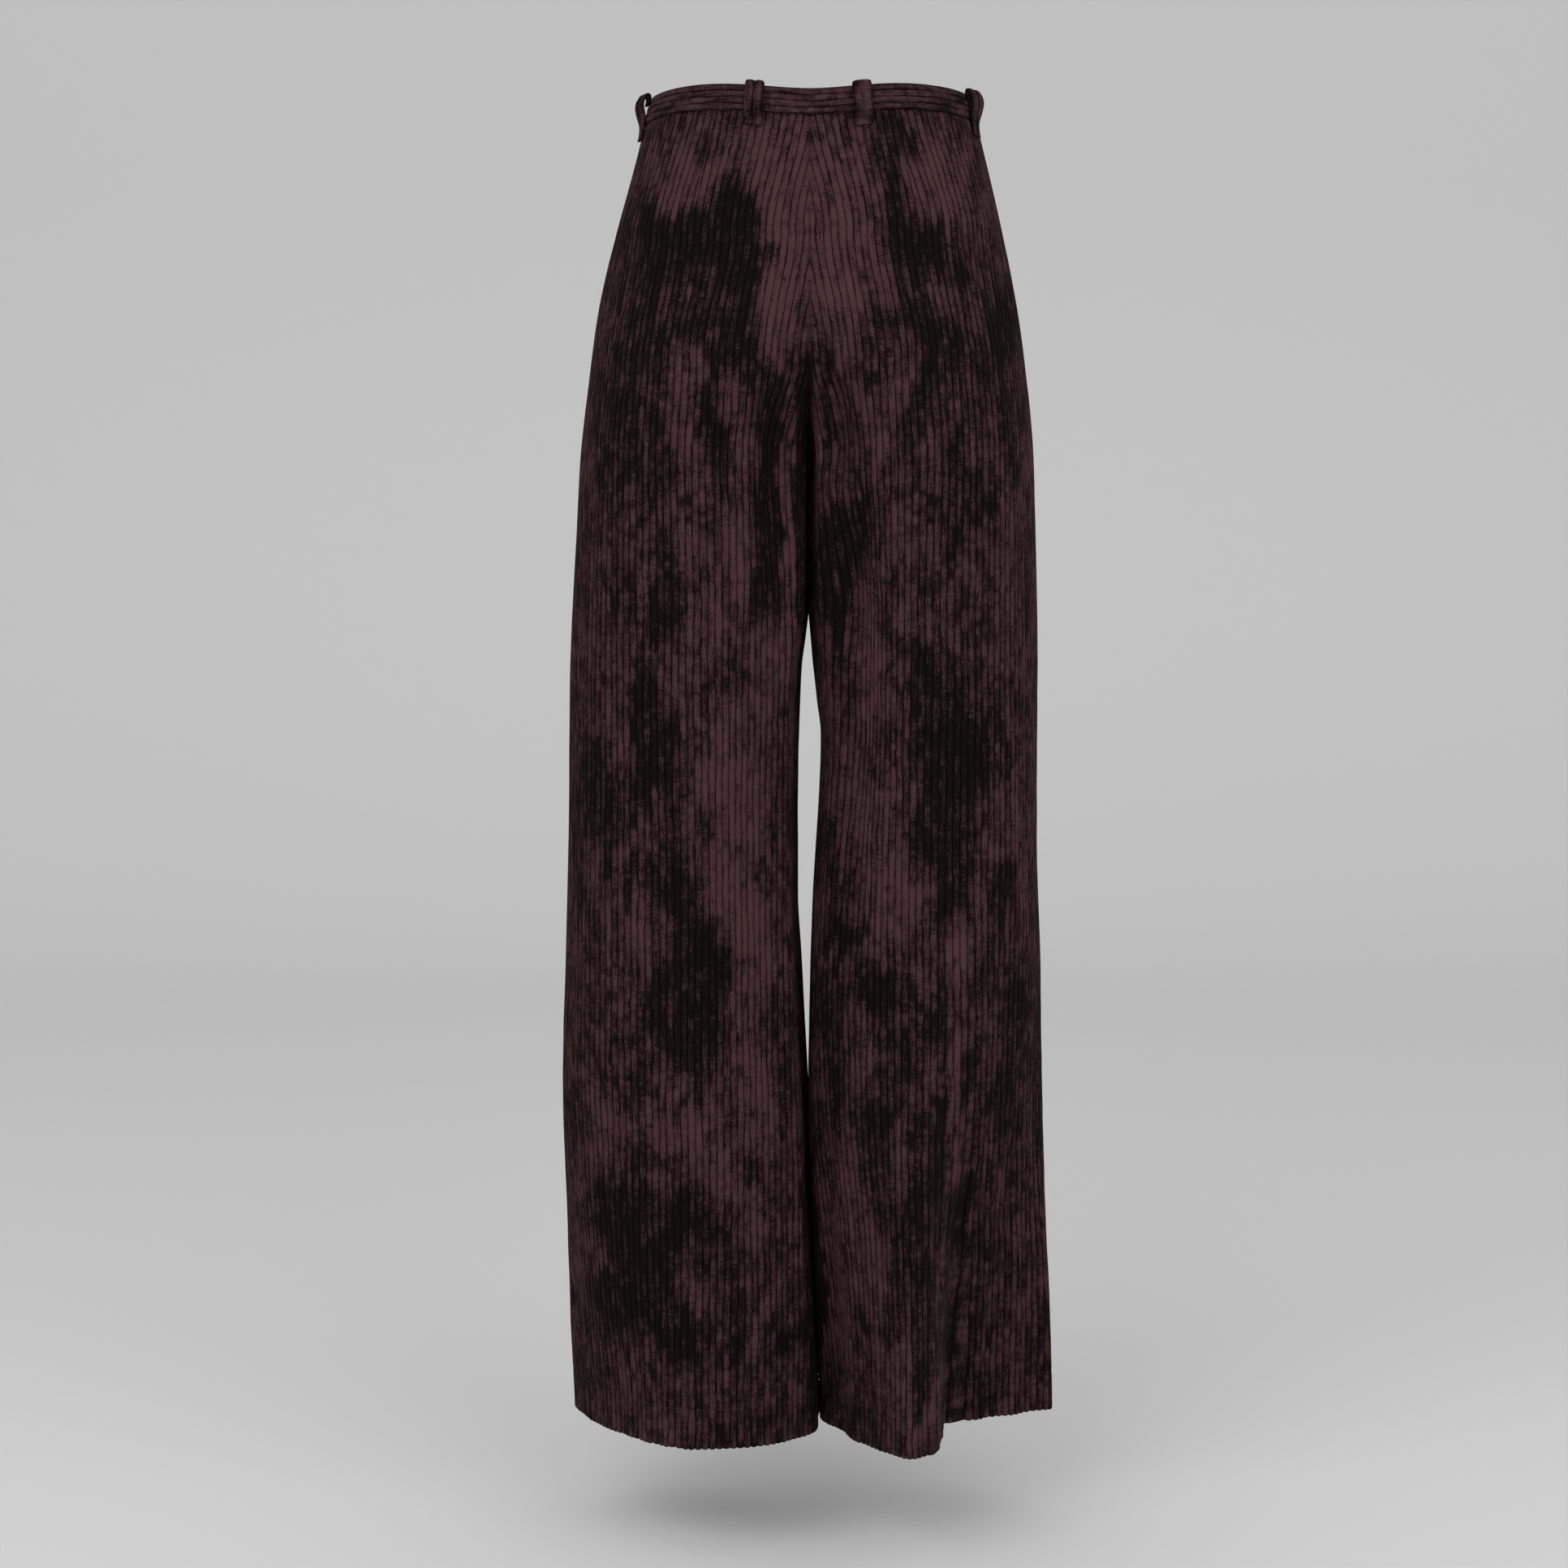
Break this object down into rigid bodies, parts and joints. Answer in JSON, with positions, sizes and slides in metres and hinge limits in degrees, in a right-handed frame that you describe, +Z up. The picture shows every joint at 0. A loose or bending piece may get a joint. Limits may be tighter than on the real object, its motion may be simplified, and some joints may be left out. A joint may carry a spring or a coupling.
{
  "type": "corduroy trousers",
  "caption": "High-waisted wide-leg corduroy trousers with belt loops and a fly front, hollow and hanging as worn.",
  "frame": {"origin": "centre of the waist opening, half way up the waistband, where the wearer holds the trousers up", "axes": "+Z up, -Y towards the back of the trousers, +Y towards the fly, +X towards the wearer's right leg"},
  "size_m": [0.3957, 0.2474, 1.0542],
  "materials": {
    "corduroy": "jumbo-wale corduroy with a soft directional nap, dark aubergine brown",
    "zip_tape": "woven tape with a closed row of dull metal teeth"
  },
  "bodies": {
    "root": {"back_left": "corduroy", "back_right": "corduroy", "front_left": "corduroy", "front_right": "corduroy", "waistband": "corduroy", "belt_loop_back_left": "corduroy", "belt_loop_back_right": "corduroy", "belt_loop_side_left": "corduroy", "belt_loop_side_right": "corduroy", "belt_loop_front_left": "corduroy", "belt_loop_front_right": "corduroy", "fly_zip": "zip_tape"}
  },
  "joints": []
}
